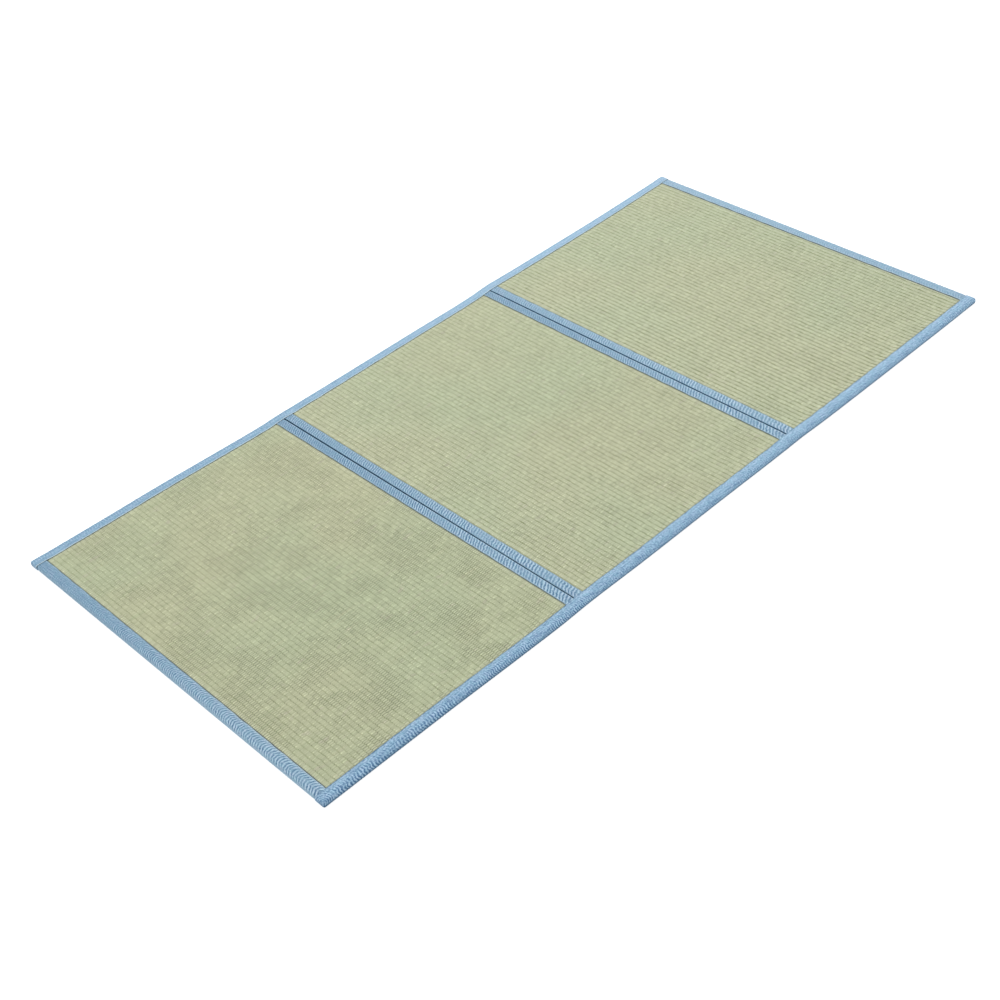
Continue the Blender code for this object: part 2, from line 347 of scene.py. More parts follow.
crossLook = {
    "dark": (0.066, 0.145, 0.245, 1),
    "middle": (0.195, 0.310, 0.408, 1),
    "light": (0.370, 0.500, 0.605, 1),
    "selvedge": (0.460, 0.560, 0.600, 1),
    "shade": (0.012, 0.066, 0.130, 1),
    "streaks": 0.14,
    "mottling": 0.17,
    "ribWander": 0.35,
    # waves of each pattern to a mm along the tape and to a mm across it
    "patchCounts": (0.09, 0.14),
    "streakCounts": (0.03, 0.75),
    "mottleCounts": (0.26, 0.30),
    "threadPitch": 0.9,  # in mm, as the stitches are
    "stitchFromEdge": 2.4,
    "stitchLength": 3.4,
    "bump": 0.00025,
    "sheen": 0.04,
    "gloss": 0.2,
}
rightLook = dict(
    crossLook, dark=(0.055, 0.130, 0.250, 1), middle=(0.200, 0.328, 0.450, 1),
    light=(0.350, 0.505, 0.650, 1), streaks=0.3, mottling=0.36,
)
leftLook = dict(
    crossLook, middle=(0.200, 0.325, 0.440, 1), light=(0.370, 0.515, 0.655, 1), streaks=0.2, mottling=0.20,
    stitchLength=6.0,
)


# Tape: ribbed cloth. Its UV map holds mm along the tape and mm in from its upper edge.
def makeTape(name, look):
    bench = NodeBench(name)
    cloth = bench.split(bench.add("ShaderNodeUVMap", uv_map="cloth").outputs[0])
    along, across = cloth[0], cloth[1]

    # ribs that swell and fade and wander a little
    patch = bench.grain(along, across, look["patchCounts"])
    wander = bench.straight(patch, 0.2, 0.8, (-look["ribWander"], look["ribWander"]))
    turn = bench.plus(bench.point("rib"), wander)
    ridge = bench.maths("SINE", bench.times(turn, 2 * math.pi))
    ridge = bench.times(ridge, bench.point("ribStrength"))
    ridge = bench.times(ridge, bench.rise(patch, 0.32, 0.6, (0.55, 1.15)))

    streak = bench.grain(along, across, look["streakCounts"], 0.0, 3.0, 0.6)
    mottle = bench.grain(along, across, look["mottleCounts"], 3.0, 3.0, 0.7)
    # threads lie a little unevenly, so they never line up with the picture's own grid
    jitter = bench.times(bench.noise(bench.vector(along, across, 7.0), 0.35, 2.0), 3.0)
    threadTurn = 2 * math.pi / look["threadPitch"]
    weft = bench.maths("SINE", bench.scaled(along, threadTurn, jitter))
    warp = bench.maths("SINE", bench.scaled(across, threadTurn, jitter))
    threads = bench.times(weft, warp)

    share = bench.scaled(ridge, 0.42, 0.5)
    share = bench.plus(share, bench.point("tone"))
    spread = -look["streaks"], look["streaks"]
    share = bench.plus(share, bench.straight(streak, 0.3, 0.7, spread))
    spread = -look["mottling"], look["mottling"]
    share = bench.plus(share, bench.straight(mottle, 0.35, 0.65, spread))
    share = bench.maths("MULTIPLY_ADD", threads, 0.05, share, clamp=True)
    colour = bench.mix(bench.straight(share, 0.0, 0.5), look["dark"], look["middle"])
    colour = bench.mix(bench.straight(share, 0.5, 1.0), colour, look["light"])
    hue = bench.noise(bench.vector(along, across, 11.0), 0.11, 2.0)
    reddish = bench.straight(hue, 0.3, 0.7, (0.93, 1.07))
    bluish = bench.straight(hue, 0.3, 0.7, (0.985, 1.015))
    colour = bench.mix(1.0, colour, bench.vector(reddish, 1.0, bluish), "MULTIPLY")

    # a light selvedge at the sewn edge, the row of stitches beside it, and the shaded parts
    nearEdge = bench.times(bench.rise(across, 1.5, 0.8), bench.point("edgeLight"))
    colour = bench.mix(nearEdge, colour, look["selvedge"])
    fromStitch = bench.distance(across, look["stitchFromEdge"])
    stitches = bench.maths("DIVIDE", bench.plus(along, 1020.0), look["stitchLength"])
    stitchEnd = bench.distance(bench.maths("FRACT", stitches), 0.5)
    stitch = bench.times(bench.rise(fromStitch, 0.5, 0.25), bench.rise(stitchEnd, 0.40, 0.32))
    colour = bench.mix(bench.times(stitch, 0.5), colour, look["selvedge"])
    colour = bench.mix(bench.rise(across, -0.15, -0.8, (0.0, 0.9)), colour, look["shade"])
    colour = bench.mix(bench.point("shade"), colour, look["shade"])

    height = bench.scaled(threads, 0.18, bench.times(ridge, 0.5))
    height = bench.scaled(stitch, 0.8, height)
    height = bench.scaled(mottle, 0.6, height)
    return bench.finish(colour, height, bench.rise(mottle, 0.2, 0.8, (0.62, 0.78)), look)


rushMaterial = makeRush(rushLook)
crossMaterial = makeTape("crossTape", crossLook)
rightMaterial = makeTape("rightTape", rightLook)
leftMaterial = makeTape("leftTape", leftLook)
print("materials made")

rushValues = {
    "brickWidth": 0.0049,
    "top": 0.01030,
    "grooveDepth": 0.00055,
    "rowStep": 0.0001,
    "brickRise": 0.00012,
    "brickScatter": 0.00006,
    "rowScatter": 0.00004,
    "dip": 0.00045,
    "dipLength": 0.0100,
    "riser": 0.0008,
    "rowWander": 0.00028,
    "brickWander": 0.00042,
    "calmEdge": 0.012,  # the weave is straight at its edges and wanders beyond this distance
    "waviness": 0.00012,
    "cornerCut": 0.0030,
    "crossingSink": 0.0008,  # how much lower the margin lies where two tapes cross
    "rowProfile": ((0.0, 0.0), (0.14, 0.8), (0.5, 1.0), (0.86, 0.85), (1.0, 0.0)),  # place in a row, height
    "lineGap": 0.0005,
    "paleLength": (0.004, 0.012),
    "shadeLength": (0.0003, 0.0018),
    "merge": 0.00001,
    "smoothAngle": 60,
}
# rowSkew is how far the rows run out of square; shades are the painted shadow lines beside the tapes at the
# panel's start, end, right and left edge, each with its value at the right or near end and at the other end
# grooveWeight and slitWeight set the strength of the painted shade in the grooves and slits
panelNear = {
    "rowPitch": 0.010165,
    "groove": -0.60155,
    "rowSkew": 0.0,
    "grooveWeight": 0.39,
    "slitWeight": 2.3,
    # share of painted light that makes the panel paler
    "ribFadeAndLitPale": 0.04,
    "shades": ((0.92, 0.68), (0.50, 0.42), (0.40, 0.36), (0.45, 0.42)),
}
panelMiddle = {
    "rowPitch": 0.01019,
    "groove": -0.00539,
    "rowSkew": 0.0012,
    "grooveWeight": 0.75,
    "slitWeight": 1.0,
    "ribFadeAndLitPale": 0.13,
    "shades": ((0.36, 0.58), (0.52, 0.50), (0.34, 0.30), (0.42, 0.36)),
}
panelFar = {
    "rowPitch": 0.01027,
    "groove": 0.60310,
    "rowSkew": 0.0056,
    "grooveWeight": 1.17,
    "slitWeight": 0.8,
    "ribFadeAndLitPale": 0.20,
    "shades": ((0.38, 0.70), (0.92, 0.92), (0.30, 0.36), (0.42, 0.45)),
}


# Distances from a tape's outer face, and how far the hidden margin of the panel drops there.
def marginLines(reach, roll):
    radius = roll - wall
    lines = []
    for angle in (0, 45, 90):
        turned = math.radians(angle)
        lines.append((wall + radius * (1 - math.cos(turned)), radius * (1 - math.sin(turned))))
    lines.append((reach + matValues["gap"], 0.0))
    return lines


# Y of the two lines where the rush comes out from under the side tapes, clear of their edges.
def fieldSides(x, clear):
    low = sideLine(x, -1) + sideTapeRight["reach"] + clear
    return low, sideLine(x, 1) - sideTapeLeft["reach"] - clear


def makePanel(name, nodeName, startTape, endTape, seed, own, values):
    dice = np.random.default_rng(seed)
    start, startReach, startRoll = startTape
    end, endReach, endRoll = endTape
    fieldStart = start + startReach + matValues["gap"] + values["riser"]
    fieldEnd = end - endReach - matValues["gap"] - values["riser"]
    pitch = own["rowPitch"]
    firstRow = math.floor((fieldStart - own["groove"]) / pitch)
    lastRow = math.floor((fieldEnd - own["groove"]) / pitch)

    # columns of the grid: margin, rows of rush, margin
    parts, heights = zip(*values["rowProfile"])
    column = [(start + u, drop, True) for u, drop in marginLines(startReach, startRoll)]
    column.append((fieldStart, 0.0, False))
    for row in range(firstRow, lastRow + 1):
        for part in parts[:-1]:
            place = own["groove"] + (row + part) * pitch
            if fieldStart + values["lineGap"] < place < fieldEnd - values["lineGap"]:
                column.append((place, 0.0, False))
    column.append((fieldEnd, 0.0, False))
    column += [(end - u, drop, True) for u, drop in marginLines(endReach, endRoll)[::-1]]
    lineX, dropX, marginX = [np.array(entries) for entries in zip(*column)]
    rowNumbers = (lineX - own["groove"]) / pitch
    rowOf = np.floor(rowNumbers + 0.001).astype(int)
    shape = np.interp(rowNumbers - rowOf, parts, heights)
    shape = np.where(np.abs(rowNumbers - np.round(rowNumbers)) < 0.001, 0.0, shape)
    rowIndex = rowOf - rowOf.min()
    rowCount = int(rowIndex.max()) + 1

    # rows of the grid: margin, two lines to a brick, margin
    fieldWidth = 2 * (matValues["halfWidth"] - values["riser"])
    fieldWidth = fieldWidth - sideTapeRight["reach"] - sideTapeLeft["reach"]
    brickCount = round(fieldWidth / values["brickWidth"])
    right = marginLines(sideTapeRight["reach"], sideTapeRight["roll"])
    left = marginLines(sideTapeLeft["reach"], sideTapeLeft["roll"])
    lineCount = 2 * brickCount + 1
    side = np.array([-1] * len(right) + [0] * lineCount + [1] * len(left))
    inset = np.array([u for u, drop in right] + [0.0] * lineCount + [u for u, drop in left[::-1]])
    dropY = np.array([drop for u, drop in right] + [0.0] * lineCount + [drop for u, drop in left[::-1]])
    step = np.arange(len(side)) - len(right)
    share = np.clip(step / (lineCount - 1), 0.0, 1.0)

    x = np.broadcast_to(lineX, (len(side), len(lineX))).copy()
    inside = ~marginX & (side == 0)[:, None]
    fromEnd = np.minimum(lineX - start, end - lineX)
    corner = np.maximum(0.0, values["cornerCut"] - (fromEnd - wall))
    outermost = (inset < sideTapeRight["roll"] + matValues["gap"])[:, None]
    marginInset = inset[:, None] + np.where(outermost, corner, 0.0)
    low, high = fieldSides(lineX, matValues["gap"] + values["riser"])
    y = low + (high - low) * share[:, None]
    y = np.where((side == -1)[:, None], sideLine(lineX, -1) + marginInset, y)
    y = np.where((side == 1)[:, None], sideLine(lineX, 1) - marginInset, y)

    # the weave wanders a little, but not at its edges
    fromTape = np.minimum(np.minimum(y - low, high - y), np.minimum(x - fieldStart, fieldEnd - x))
    free = smoothStep(fromTape, 0.0, values["calmEdge"]) * inside
    x = x + free * values["rowWander"] * softWaves(seed + 1, x, y, 0.35, 0.16)
    x = x + free * own["rowSkew"] * (y + matValues["middleShift"])
    y = y + free * values["brickWander"] * softWaves(seed + 2, rowOf, y, 5.0, 0.045)

    # heights: rows with a groove between them, and bricks that stand out in turn
    rowScatter = dice.normal(0.0, values["rowScatter"], rowCount)
    brickScatter = dice.normal(0.0, values["brickScatter"], (brickCount + 3, rowCount))
    patch = np.clip(1.0 + 0.5 * softWaves(seed + 3, x, y, 0.22, 0.26), 0.25, 2.2)
    crown = ((step[:, None] + rowOf) % 2 == 0) & (shape > 0) & inside
    brickOf = np.clip((step[:, None] + rowOf % 2) // 2, 0, brickCount + 2)
    height = values["top"] - values["rowStep"] * (rowOf % 2) * shape
    height = height - values["grooveDepth"] * (1 - shape)
    height = height + rowScatter[rowIndex] * shape
    brick = np.where(crown, values["brickRise"], -values["brickRise"]) * patch
    brick = brick + np.where(crown, brickScatter[brickOf, rowIndex], 0.0)
    height = height + np.where(shape > 0, brick, 0.0) * free
    height = height + values["waviness"] * softWaves(seed + 4, x, y, 0.16, 0.2) * free
    beside = 1 - np.clip(fromTape / values["dipLength"], 0.0, 1.0)
    height = height - values["dip"] * beside**1.5

    # margins are pressed thin under the tapes
    crossing = marginX & (side != 0)[:, None]
    margin = matValues["thickness"] - wall - np.maximum(dropX, dropY[:, None])
    margin = margin - values["crossingSink"] * crossing
    height = np.where(inside, height, margin)
    panel = layGrid(name, np.stack((x, y, height), -1))
    topCount = len(panel.data.vertices)

    # the rim goes down, in under the tapes, and down again to a flat underside
    def levelBelow(px, py):
        slack = 0.000001
        byEnd = (px < fieldStart - values["riser"] + slack) | (px > fieldEnd + values["riser"] - slack)
        lowest, highest = fieldSides(px, matValues["gap"])
        bySide = (py < lowest + slack) | (py > highest - slack)
        return np.where(byEnd & bySide, 2 * wall + 0.0001, wall)

    setMode("EDIT")
    bpy.ops.mesh.select_mode(type="EDGE")
    pickAll()
    bpy.ops.mesh.region_to_loop()
    after = topCount
    for stage in ("down", "in", "flat"):
        before = after
        setMode("EDIT")
        bpy.ops.mesh.extrude_region_move()
        setMode("OBJECT")
        after = len(panel.data.vertices)
        points = readPoints(panel)
        rim = points[before:after]
        if stage == "in":
            rim[:, 0] = np.clip(rim[:, 0], fieldStart - values["riser"], fieldEnd + values["riser"])
            rim[:, 1] = np.clip(rim[:, 1], *fieldSides(rim[:, 0], matValues["gap"]))
        rim[:, 2] = 0.0 if stage == "flat" else levelBelow(rim[:, 0], rim[:, 1])
        points[before:after] = rim
        panel.data.vertices.foreach_set("co", points.reshape(-1))
        panel.data.update()
    setMode("EDIT")
    bpy.ops.mesh.edge_face_add()
    setMode("OBJECT")

    # weave numbers: row and brick on the upper face, plain distances below
    points = readPoints(panel)
    rowNumber = (points[:, 0] - own["groove"]) / pitch
    brickNumber = (points[:, 1] - low.mean()) / (high - low).mean() * brickCount + 0.5
    rowNumber[:topCount] = np.broadcast_to(rowNumbers, x.shape).reshape(-1)
    brickNumber[:topCount] = np.broadcast_to((step * 0.5 + 0.5)[:, None], x.shape).reshape(-1)
    setCloth(panel, rowNumber, brickNumber)
    besideTape = np.zeros(len(points))
    besideTape[:topCount] = (1 - smoothStep(fromTape, *values["paleLength"])).reshape(-1)
    # painted shadow lines where the rush meets each tape
    tapeShade = np.zeros(len(points))
    shade = 0.0 * x
    toLeft = smoothStep(y, -0.3, 0.3)
    toFar = smoothStep(x, fieldStart, fieldEnd)
    edges = (
        (x - fieldStart, toLeft), (fieldEnd - x, toLeft),
        (y - low, toFar), (high - y, toFar),
    )
    for (distance, way), (first, second) in zip(edges, own["shades"]):
        strong = first + (second - first) * way
        shade = np.maximum(shade, strong * (1 - smoothStep(distance, *values["shadeLength"])))
    tapeShade[:topCount] = shade.reshape(-1)
    # strength of the painted shade in the grooves and slits, set per panel and stronger toward the right
    # side
    setPoints(panel, "grooveWeight", own["grooveWeight"] * (1.0 - 0.3 * (points[:, 1] + 0.25)))
    setPoints(panel, "slitWeight", own["slitWeight"] * (1.0 - 0.5 * (points[:, 1] + 0.25)))
    # painted light: the share of the paler colour grows toward the far panel
    setPoints(panel, "ribFadeAndLitPale", np.full(len(points), own["ribFadeAndLitPale"]))
    setPoints(panel, "besideTape", besideTape)
    setPoints(panel, "tapeShade", tapeShade)

    setMode("EDIT")
    pickAll()
    bpy.ops.mesh.remove_doubles(threshold=values["merge"])
    bpy.ops.mesh.normals_make_consistent(inside=False)
    setMode("OBJECT")
    bpy.ops.object.shade_smooth_by_angle(angle=math.radians(values["smoothAngle"]))
    panel.data.materials.clear()
    panel.data.materials.append(rushMaterial)
    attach(panel, "root")
    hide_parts(nodeName)
    print(name, "done:", len(panel.data.polygons), "faces,", rowCount, "rows of", brickCount, "bricks")


# what all the tapes share; reach is how far a tape lies in over the rush, roll the radius of its upper edge
clothValues = {
    "ramp": 0.0090,
    "sink": 0.0007,
    "crown": 0.00022,
    "stitchDepth": 0.00028,
    "ribHeight": 0.00010,
    "pucker": 0.00008,
    "edgeWander": 0.00025,
    "slant": 0.62,
    "archHeight": 0.0062,
    "curveHeight": 0.0013,
    "curveLength": 0.022,
    "tuck": 0.0008,  # the ends of the cross tapes stay this far inside the side tapes
    "tipLength": 0.0035,
    "liftLength": 0.009,  # how soon a side tape rises beside a tape that it crosses, and how high
    "liftHeight": 0.0006,
    "merge": 0.000002,
    "smoothAngle": 50,
}
sideTapeLeft = {
    "side": 1,
    "reach": 0.0230,
    "roll": 0.0045,
    "step": 0.0018,
    "ribs": 0.45,
    "ribCounts": ((-0.9, 165), (0.9, 165)),  # ribs per metre at a few places along the tape
    "tone": (-0.06, 0.13),  # at the near and far end; the rise toward the far end is painted light
    "outside": -0.03,
    "inside": 0.0,
    "edgeLight": (0.95, 0.80),
    "stripe": 0.10,
    "wallShade": (0.15, 0.15),
    "footShade": 0.30,
}
sideTapeRight = {
    "side": -1,
    "reach": 0.0222,
    "roll": 0.0045,
    "step": 0.0013,
    "ribs": 1.0,
    "ribCounts": ((-0.9, 164), (-0.66, 168), (-0.58, 205), (-0.3, 213), (0.9, 190)),
    "tone": (0.01, 0.13),
    "outside": -0.14,
    "inside": -0.22,
    "edgeLight": (0.0, 0.0),
    "stripe": 0.0,
    "wallShade": (0.46, 0.04),
    "footShade": 0.90,
}


# Parts of a tape's section: under the mat, round the edge, and over the mat up to its sewn edge.
def sectionPlan(fine):
    under = [("under", s) for s in (0.0, 0.5)]
    lowArc = [("low", a) for a in np.linspace(-90, 0, 5 if fine else 3)]
    highArc = [("high", a) for a in np.linspace(0, 90, 7 if fine else 4)]
    shares = (0.12, 0.25, 0.38, 0.52, 0.64, 0.74, 0.82, 0.87, 0.91, 0.96, 1.0) if fine else (0.5, 1.0)
    return under + lowArc + highArc + [("over", s) for s in shares]


# Distance in from the outer face, height, and the way the cloth faces, for each station and part.
def foldedSection(plan, reach, roll, bottom, top, drawIn, inset):
    roll = np.minimum(roll, (top - bottom) / 2 - 0.00005)
    lowRoll = np.minimum(roll, matValues["lowRoll"])
    u, z, outU, outZ = [], [], [], []
    for part, value in plan:
        if part == "under":
            u.append(reach + (lowRoll + drawIn - reach) * value)
            z.append(bottom + inset)
            outU.append(0 * reach)
            outZ.append(0 * reach - 1)
        elif part == "over":
            u.append(roll + drawIn + (reach - roll - drawIn) * value)
            z.append(top - inset)
            outU.append(0 * reach)
            outZ.append(0 * reach + 1)
        else:
            turned = math.radians(value)
            turn = lowRoll if part == "low" else roll
            centre = bottom + turn if part == "low" else top - turn
            u.append(drawIn + turn - (turn - inset) * math.cos(turned))
            z.append(centre + (turn - inset) * math.sin(turned))
            outU.append(0 * reach - math.cos(turned))
            outZ.append(0 * reach + math.sin(turned))
    return [np.stack(values, 1) for values in (u, z, outU, outZ)]


# Length of cloth from the sewn edge to each point of the section, taken at a middle station.
def clothAcross(u, z):
    middle = len(u) // 2
    steps = np.hypot(np.diff(u[middle]), np.diff(z[middle]))
    return np.concatenate((np.cumsum(steps[::-1])[::-1], [0.0]))


# Low relief of the cloth: a soft crown, the pulled-down stitch line, ribs and small puckers.
def clothRelief(seed, along, across, topWidth, ribs, values):
    b = across
    a = along[:, None]
    stitch = crossLook["stitchFromEdge"] * 0.001
    crown = np.sin(np.pi * np.clip((b - stitch) / (topWidth - stitch + 0.003), 0.0, 1.0))
    onTop = smoothStep(topWidth + 0.006 - b, 0.0, 0.004)
    relief = values["crown"] * crown
    relief = relief - values["stitchDepth"] * np.exp(-(((b - stitch) / 0.0011) ** 2))
    relief = relief + values["pucker"] * softWaves(seed, a, b, 0.022, 0.030) * onTop
    phase, strength = ribs
    return relief + values["ribHeight"] * strength * np.sin(2 * np.pi * phase)


# The outer skin and a plainer inner skin make one closed loop, so the tape has its real thickness.
def makeTapeMesh(name, outer, inner, along, across, looks):
    loop = np.concatenate((outer, inner[:, ::-1], outer[:, :1]), 1)
    tape = layGrid(name, loop)
    spread = np.concatenate((across * 1000, np.full(inner.shape[1], -1.0), across[:1] * 1000))
    setCloth(tape, np.repeat(along * 1000, loop.shape[1]), np.tile(spread, len(along)))
    for look, values in looks.items():
        skin = values + 0 * outer[:, :, 0]
        inside = np.repeat(skin[:, -1:], inner.shape[1], 1)
        setPoints(tape, look, np.concatenate((skin, inside, skin[:, :1]), 1))
    return tape


def finishTape(tape, nodeName, material):
    setMode("EDIT")
    pickAll()
    bpy.ops.mesh.remove_doubles(threshold=clothValues["merge"])
    pickAll()
    bpy.ops.mesh.fill_holes(sides=0)
    pickAll()
    bpy.ops.mesh.normals_make_consistent(inside=False)
    setMode("OBJECT")
    bpy.ops.object.shade_smooth_by_angle(angle=math.radians(clothValues["smoothAngle"]))
    tape.data.materials.clear()
    tape.data.materials.append(material)
    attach(tape, "root")
    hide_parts(nodeName)
    print(tape.name, "done:", len(tape.data.polygons), "faces")


# Number of ribs passed on the way to each place, from a table of ribs per metre.
def ribsTo(places, table):
    fine = np.linspace(-1.0, 1.0, 4001)
    counts = np.interp(fine, [p for p, c in table], [c for p, c in table])
    return np.interp(places, fine, np.cumsum(counts) * (fine[1] - fine[0]))


# Where the ribs lie on a tape that crosses the mat: u is the distance in from its outer face.
def ribPlaces(kind, y, x, u, values):
    if kind == "arched":
        return y - values["archHeight"] * (1 - ((u - 0.0115) / 0.0105) ** 2)
    slanted = y - values["slant"] * x
    if kind == "slanted":
        return slanted
    return slanted - values["curveHeight"] * np.sin(2 * np.pi * u / values["curveLength"])


# Tape over an end of the mat or a panel edge at a fold. It is tucked under both side tapes.
def makeCrossTape(name, nodeName, place, inward, own, seed, values):
    line, reach, roll = place
    atEnd = roll == endRoll
    offsets = []
    tucked = ((0.0, 1.5), (0.6, 0.9), (1.2, 0.35), (3.0, 0.0))
    for sideTape in (sideTapeRight, sideTapeLeft):
        clear = sideTape["reach"] + matValues["gap"] + rushValues["riser"]
        half = [(matValues["cloth"] + values["tuck"] + s * 0.001, drop * 0.001) for s, drop in tucked]
        half += [(clear - 0.006, 0.0), (clear, 0.0)]
        if sideTape["side"] > 0:
            half = half[::-1]
        offsets.append(half)
    middle = sideLine(line, 1) - sideLine(line, -1)
    first, last = offsets[0][-1][0], middle - offsets[1][0][0]
    count = round((last - first) / own["step"])
    dense = np.linspace(first, last, count + 1)[1:-1]
    fromRight = np.array([h[0] for h in offsets[0]] + list(dense) + [middle - h[0] for h in offsets[1]])
    under = np.concatenate((np.ones(len(offsets[0])), np.zeros(len(dense)), np.ones(len(offsets[1]))))
    ramp = np.minimum(fromRight - first, last - fromRight)
    under = np.maximum(under, 1 - smoothStep(ramp, 0.0, values["ramp"]))
    drop = np.array([h[1] for h in offsets[0]] + [0.0] * len(dense) + [h[1] for h in offsets[1]])
    share = fromRight / middle
    along = fromRight + sideLine(line, -1)

    wander = values["edgeWander"] * softWaves(seed + 5, along, 0.0, 0.05, 1.0) * (1 - under)
    reaches = reach + wander
    bottom = under * wall + drop
    top = matValues["thickness"] - under * values["sink"] - drop
    drawIn = drop * (1.0 if atEnd else 0.0)
    outerU, outerZ, faceU, faceZ = foldedSection(sectionPlan(True), reaches, roll, bottom, top, drawIn, 0.0)
    innerSection = foldedSection(sectionPlan(False), reaches, roll, bottom, top, drawIn, matValues["cloth"])
    innerU, innerZ = innerSection[:2]
    across = clothAcross(outerU, outerZ)
    topWidth = reach - roll

    worldX = line + inward * outerU
    toLeft = smoothStep(along, -0.3, 0.3)[:, None]
    shift = values["slant"] * line if own["ribs"] != "arched" else 0.0
    places = ribPlaces(own["ribs"], along[:, None], worldX, outerU, values)
    phase = ribsTo(places + shift, own["ribCounts"])
    ribEnd = topWidth + (1.2 if atEnd else 0.6) * roll
    window = smoothStep(across, 0.0006, 0.0020) * (1 - smoothStep(across, ribEnd - 0.002, ribEnd))
    window = window * (1.15 - own["quietMiddle"] * np.exp(-(((across - 0.5 * reach) / 0.0045) ** 2)))
    right, left = own["strength"]
    strength = right + (left - right) * smoothStep(along, *own["ribFadeAndLitPale"])[:, None]
    strength = strength * window * (1 + 0.2 * softWaves(seed + 6, along, 0.0, 0.12, 1.0))[:, None]
    right, left = own["tone"]
    tone = right + (left - right) * toLeft + 0 * outerU
    lines = 0.11 * np.sin(2 * np.pi * across / 0.0042)
    tone = tone + lines * own["lines"] * smoothStep(along, 0.0, 0.25)[:, None]
    right, left = own["edgeLight"]
    edgeLight = right + (left - right) * smoothStep(along, -0.2, 0.0)[:, None]
    right, left = own["crack"]
    shade = 0.0 * outerU
    if not atEnd:
        # painted highlight along the crest of the rolled edge beside the fold gap
        crestHighlight = np.exp(-(((across - topWidth - 0.0002) / 0.0011) ** 2))
        tone = tone + (0.20 if inward < 0 else 0.06) * crestHighlight
        crack = across - topWidth - (right + (left - right) * toLeft) * 0.001
        above = 1 - smoothStep(across, topWidth + 0.011, topWidth + 0.013)
        shade = 0.9 * smoothStep(crack, 0.0, 0.0012) * above
    else:
        # painted light on the near end's rolled outer edge and painted shade on the far end's
        tone = tone + own["outside"] * smoothStep(across, topWidth, topWidth + 0.003)
    relief = clothRelief(seed, along, across, topWidth, (phase, strength), values)
    relief = relief * (1 - under)[:, None]
    relief[:, :2] = 0.0
    outerU = outerU + faceU * relief
    outerZ = np.maximum(outerZ + faceZ * relief, 0.0)

    def placed(u, z):
        x = line + inward * u
        y = sideLine(x, -1) * (1 - share)[:, None] + sideLine(x, 1) * share[:, None]
        return np.stack((x, y, z), -1)

    outer, inner = placed(outerU, outerZ), placed(innerU, innerZ)
    looks = {"rib": phase, "ribStrength": strength, "tone": tone, "shade": shade, "edgeLight": edgeLight}
    tape = makeTapeMesh(name, outer, inner, along, across, looks)
    finishTape(tape, nodeName, crossMaterial)


# How far a side tape is lifted: it rises over each tape that it crosses, and bulges over the folds.
def crossingLift(x):
    edges = (
        (-2.0, nearEnd[0] + nearEnd[1]), (beforeFirst[0] - beforeFirst[1], afterFirst[0] + afterFirst[1]),
        (beforeSecond[0] - beforeSecond[1], afterSecond[0] + afterSecond[1]), (farEnd[0] - farEnd[1], 2.0),
    )
    lift = 0.0 * x
    length = clothValues["liftLength"]
    for low, high in edges:
        risen = smoothStep(x, low - length, low) * (1 - smoothStep(x, high, high + length))
        lift = np.maximum(lift, risen)
    return lift * clothValues["liftHeight"]


